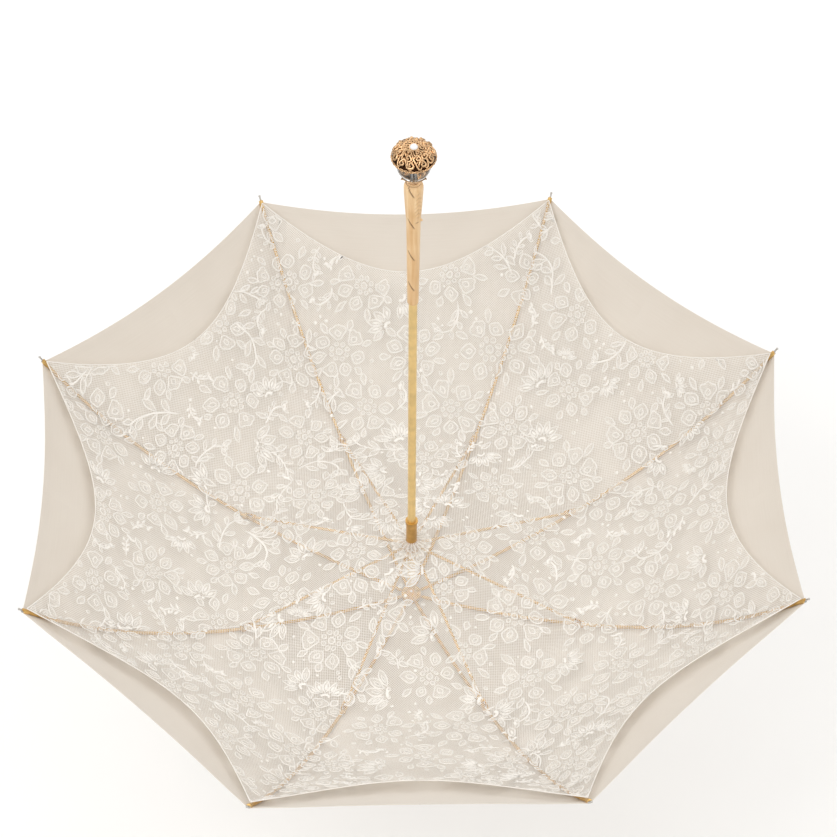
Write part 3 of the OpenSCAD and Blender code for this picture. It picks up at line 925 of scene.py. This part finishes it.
bm = bmesh.new()
outline = [(0.0, handle_low), (0.0054, handle_low), (0.0062, handle_low + foot_chamfer)]
for i in range(1, 180):
    z = handle_low + foot_chamfer + (taper_long - foot_chamfer) * i / 180
    # a slow taper up to the ear, and a quicker swell beside it
    if z < swell_from:
        outline.append((0.00625 + 0.0016 * (z - handle_low) / 0.135, z))
    else:
        outline.append((0.00785 + 0.00255 * min(1, ((z - swell_from) / 0.043) ** 0.8), z))
outline += [(0.0104, 0.0895), (0.0100, 0.0915), (0.0090, 0.0935), (0.0069, 0.0950), (0.0, 0.0950)]
turn_on_lathe(bm, [(r, 0, z) for r, z in outline], 120)
bmesh.ops.remove_doubles(bm, verts=bm.verts, dist=1e-6)
# The "cut" attribute holds how much painted shade each vertex gets in a knife cut, a groove of the ear or
# the notch
painted_groove_shade_layer = bm.verts.layers.float.new("cut")
for v in bm.verts:
    r = math.hypot(v.co.x, v.co.y)
    if r < 0.004:
        continue
    turn = math.atan2(v.co.y, v.co.x)
    z = v.co.z
    moved, painted_groove_shade = 0.0, 0.0
    # the flats that a knife leaves round the stick
    moved -= 0.00018 * (1 - abs(math.sin(turn * 4 + z * 18)))
    # knife cuts, each slanting down towards the right
    for cut_z in cut_heights:
        sidelong = (turn + cut_side) * r
        down = cut_z - z
        off_line = (sidelong + 0.0014 - down * 0.55) * 0.88
        if abs(down) < cut_half:
            shallow = 1 - (down / cut_half) ** 2
            depth = max(0.0, 1 - abs(off_line) / 0.0011) * shallow ** 0.5
            moved -= 0.0013 * depth
            # painted shade down the middle of the cut
            painted_groove_shade = max(painted_groove_shade, min(1.0, depth * 1.6))
            moved += 0.0006 * max(0.0, 1 - abs(off_line - 0.0018) / 0.0014) * shallow
    # the ear of leaves
    across_ear = (turn + ear_side) * r
    up_ear = (z - 0.046) / 0.044
    if 0 < up_ear < 1 and abs(across_ear) < 0.0052:
        envelope = math.sin(math.pi * min(1, up_ear * 1.08 + 0.02)) ** 0.4 if up_ear < 0.9 else 0.6
        half_ear = 0.0046 * envelope
        if abs(across_ear) < half_ear:
            leaf = abs(math.sin(math.pi * (z / 0.0062 + abs(across_ear) / 0.0062)))
            rib_line = min(1, abs(across_ear) / 0.0006)
            edge = min(1, (half_ear - abs(across_ear)) / 0.0008)
            moved += (0.0011 * leaf**0.5 * rib_line - 0.0001) * edge
            # painted shade in the grooves between the leaves
            painted_groove_shade = max(painted_groove_shade, 0.42 * (1 - min(1, leaf * 3)) * edge)
    # the thorn, with the notch that was cut above it
    thorn = math.hypot((turn + thorn_side) * r / 0.0022, (z - 0.0405) / 0.0026)
    moved += 0.0034 * max(0, 1 - thorn) ** 1.2
    notch = math.hypot((turn + ear_side) * r / 0.0034, (z - 0.0395) / 0.0011)
    moved -= 0.0009 * max(0, 1 - notch)
    # painted shade in the notch
    painted_groove_shade = max(painted_groove_shade, max(0.0, 1 - notch))
    v.co.x += moved * v.co.x / r
    v.co.y += moved * v.co.y / r
    v[painted_groove_shade_layer] = painted_groove_shade
bmesh.ops.recalc_face_normals(bm, faces=bm.faces)
handle = smooth(add_object("carved_handle", bm, wood))
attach(handle, "frame")
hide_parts("handle_stick")


# Calyx: a turned gold cup with six pressed leaves, three of them long, that curl up round the
# crystal ball. The rod through the ball clamps it on the end of the handle.
knob_gold = brushed("knob_gold", (0.86, 0.56, 0.31), 0.22, (90.0, 90.0, 90.0), 0.2, 0.6)[0]
ball_low, ball_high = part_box("crystal_ball")
ball_r = (ball_high[0] - ball_low[0]) / 2
ball_z = ball_low[2] + ball_r
bm = bmesh.new()
cup_line = [(0.0045, 0.0951), (0.0078, 0.0951), (0.0086, 0.0960), (0.0070, 0.0975), (0.0072, 0.0990),
            (0.0088, 0.1008), (0.0098, 0.1030), (0.0092, 0.1038), (0.0050, 0.1024), (0.0045, 0.1000)]
turn_on_lathe(bm, [(r, 0, z) for r, z in cup_line], 64, closed=True)
for leaf_no in range(6):
    made = bmesh.ops.create_grid(bm, x_segments=16, y_segments=22, size=1)["verts"]
    for v in made:
        sidewise, t = v.co.x, (v.co.y + 1) / 2
        long, broad = (0.0078, 0.0050) if leaf_no % 2 else (0.0165, 0.0078)
        half_leaf = broad * math.sin(math.pi * (0.18 + 0.82 * t) ** 0.9) ** 0.5 * (1 - t**6)
        half_leaf *= 1 - 0.22 * abs(math.sin(t * 3 * math.pi)) * abs(sidewise) ** 3
        from_pole = 0.40 + long * t / ball_r
        veins = abs(math.sin(math.pi * (t * 5 + abs(sidewise) * 1.4)))
        lift = 0.0009 + 0.0008 * veins**0.6 + 0.0010 * (1 - abs(sidewise)) ** 3
        lift += 0.0010 * max(0, t - 0.80) / 0.20
        radius = ball_r + lift
        radial = radius * math.sin(from_pole)
        turn = math.radians(270 + 60 * leaf_no) + sidewise * half_leaf / max(0.004, radial)
        v.co = along(turn) * radial + Vector((0, 0, ball_z - radius * math.cos(from_pole)))
bmesh.ops.remove_doubles(bm, verts=bm.verts, dist=1e-6)
bmesh.ops.recalc_face_normals(bm, faces=bm.faces)
calyx = smooth(add_object("leaf_calyx", bm, knob_gold))
thicken(calyx, 0.0005)
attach(calyx, "frame")
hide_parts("calyx")


# Crystal ball: a clear glass ball, drilled through for the rod and polished smooth outside. It
# sits in the calyx, and the filigree cap is pressed down on it.
glass, tree, shader = new_material("crystal", (0.93, 0.95, 0.97), 0.03)
shader.inputs["Transmission Weight"].default_value = 1.0
shader.inputs["IOR"].default_value = 1.5
coords = add_node(tree, "TexCoord")
clouds = add_node(tree, "TexNoise", {"Vector": coords.outputs["Object"], "Scale": 60.0})
tree.links.new(tone(tree, clouds.outputs[0], (0.88, 0.91, 0.94), (0.97, 0.98, 0.99)),
               shader.inputs["Base Color"])
bm = bmesh.new()
bmesh.ops.create_uvsphere(bm, u_segments=96, v_segments=48, radius=ball_r,
                          matrix=Matrix.Translation((0, 0, ball_z)))
ball = smooth(add_object("crystal_ball_clear", bm, glass))
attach(ball, "frame")
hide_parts("crystal_ball")


# Filigree cap: a dome of cast gold scrolls over a near-black shell, with leaves between them and a scalloped
# rim.
# The shell's dark colour is painted shade for the recesses between the scrolls, and the high parts are
# polished.
cap_low, cap_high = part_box("filigree_cap")
cap_r = cap_high[0]
cap_z = cap_low[2] + 0.0015
cap_h = cap_high[2] - cap_z
cap_arc = (cap_r**2 + cap_h**2) / (2 * cap_h)


def on_cap(turn, out, rise):
    """A point over the dome: out is measured along it from its top."""
    a = out / cap_arc
    radius = cap_arc + rise
    return along(turn) * radius * math.sin(a) + Vector((0, 0, cap_high[2] - cap_arc + radius * math.cos(a)))


# Painted shade: the shell under the scrolls is a near-black gold that stands for the shade in the gaps
# between them
painted_shade_metal = brushed("gold_dark_as_painted_shade", (0.055, 0.022, 0.010), 0.55, (60.0, 60.0, 60.0), 0.3)[0]
bm = bmesh.new()
dome_reach = cap_arc * math.asin(cap_r / cap_arc)
outs = [dome_reach * i / 12 for i in range(12)]
points = [on_cap(0, out, -0.0022) for out in outs]
points += [Vector((cap_r - 0.0012, 0, cap_z - 0.0012)), Vector((cap_r - 0.0030, 0, cap_z - 0.0010))]
points += [on_cap(0, out, -0.0034) for out in reversed(outs[:-1])]
turn_on_lathe(bm, points, 64)
bmesh.ops.remove_doubles(bm, verts=bm.verts, dist=1e-6)
bmesh.ops.recalc_face_normals(bm, faces=bm.faces)
dome = smooth(add_object("cap_shell", bm, painted_shade_metal))

dice = random.Random(11)
bm = bmesh.new()
for count, out, size, thick in ((11, 0.0208, 0.0048, 0.00115), (9, 0.0142, 0.0044, 0.00110),
                                (6, 0.0085, 0.0036, 0.00095)):
    for i in range(count):
        turn = 2 * math.pi * (i + dice.uniform(-0.15, 0.15)) / count
        way = dice.choice((-1, 1))
        start = dice.uniform(0, 2 * math.pi)
        path = []
        for j in range(19):
            t = j / 18
            a = start + way * t * 2.5 * math.pi
            reach = size * (1 - 0.78 * t) * (1 + 0.15 * math.sin(3 * a))
            here = min(dome_reach - 0.0005, out + reach * math.sin(a))
            path.append(on_cap(turn + reach * math.cos(a) / max(out, 0.004), here, 0.0004 + 0.0016 * t))
        sweep(bm, path, lambda t: thick * (0.55 + 0.6 * math.sin(math.pi * (0.15 + 0.8 * t))))
        bmesh.ops.create_icosphere(bm, subdivisions=1, radius=thick * 1.3,
                                   matrix=Matrix.Translation(path[-1]))
        # a curling stem to the next scroll
        stem = [on_cap(turn + math.pi * 2 / count * u * 1.1,
                       min(dome_reach - 0.0006, out + size * 1.05 * math.sin(math.pi * 2 * u) * way),
                       0.0011 * math.sin(math.pi * u)) for u in (k / 9 for k in range(10))]
        sweep(bm, stem, lambda t: thick * 0.9 * math.sin(math.pi * (0.12 + 0.76 * t)))
for i in range(26):
    # the lobes of the rim
    turn = 2 * math.pi * i / 26
    lobe = [on_cap(turn + 0.115 * math.sin(u), dome_reach - 0.0012 + 0.0007 * math.cos(u), -0.0002)
            for u in (math.pi * 2 * k / 8 for k in range(9))]
    sweep(bm, lobe, lambda t: 0.0006, 5)
for i in range(30):
    # leaves that fill the gaps
    out = dice.uniform(0.007, 0.0205)
    turn, lean = dice.uniform(0, 2 * math.pi), dice.uniform(0, 2 * math.pi)
    long = dice.uniform(0.0035, 0.0055)
    leaf = [on_cap(turn + long * (u - 0.5) * math.cos(lean) / out, out + long * (u - 0.5) * math.sin(lean),
                   0.0008 * math.sin(math.pi * u)) for u in (k / 6 for k in range(7))]
    sweep(bm, leaf, lambda t: 0.0013 * math.sin(math.pi * (0.06 + 0.88 * t)), 6)
bmesh.ops.recalc_face_normals(bm, faces=bm.faces)
filigree = smooth(add_object("filigree_scrolls", bm, knob_gold))
for piece in (dome, filigree):
    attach(piece, "frame")
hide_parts("filigree_cap")


# Stone: a white cabochon on top of the cap, polished and left plain. A gold bezel with ten small
# claws holds it, and is soldered on the cap.
pearl, tree, shader = new_material("white_stone", (0.93, 0.93, 0.94), 0.12)
shader.inputs["Coat Weight"].default_value = 0.8
coords = add_node(tree, "TexCoord")
veil = add_node(tree, "TexNoise", {"Vector": coords.outputs["Object"], "Scale": 300.0, "Detail": 3.0})
tree.links.new(tone(tree, veil.outputs[0], (0.84, 0.86, 0.90), (0.99, 0.99, 0.98)),
               shader.inputs["Base Color"])
stone_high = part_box("cap_stone")[1]
stone_r = stone_high[0]
bm = bmesh.new()
bmesh.ops.create_uvsphere(bm, u_segments=40, v_segments=20, radius=stone_r,
                          matrix=Matrix.Translation((0, 0, stone_high[2] - stone_r)))
everything = list(bm.verts) + list(bm.edges) + list(bm.faces)
bmesh.ops.bisect_plane(bm, geom=everything, plane_co=(0, 0, cap_high[2] - 0.001), plane_no=(0, 0, -1),
                       clear_outer=True)
bmesh.ops.holes_fill(bm, edges=bm.edges)
stone = smooth(add_object("cap_stone_polished", bm, pearl))
bm = bmesh.new()
bezel = [along(2 * math.pi * i / 32) * (stone_r + 0.0003) + Vector((0, 0, cap_high[2] + 0.0002))
         for i in range(33)]
sweep(bm, bezel, lambda t: 0.0009, 8)
for i in range(10):
    claw = along(2 * math.pi * i / 10) * (stone_r + 0.0013) + Vector((0, 0, cap_high[2] + 0.0002))
    bmesh.ops.create_icosphere(bm, subdivisions=2, radius=0.0012, matrix=Matrix.Translation(claw))
bmesh.ops.recalc_face_normals(bm, faces=bm.faces)
bezel_ring = smooth(add_object("stone_bezel", bm, knob_gold))
for piece, slot in ((stone, "stone"), (bezel_ring, "gold")):
    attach(piece, "frame")
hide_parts("cap_stone")
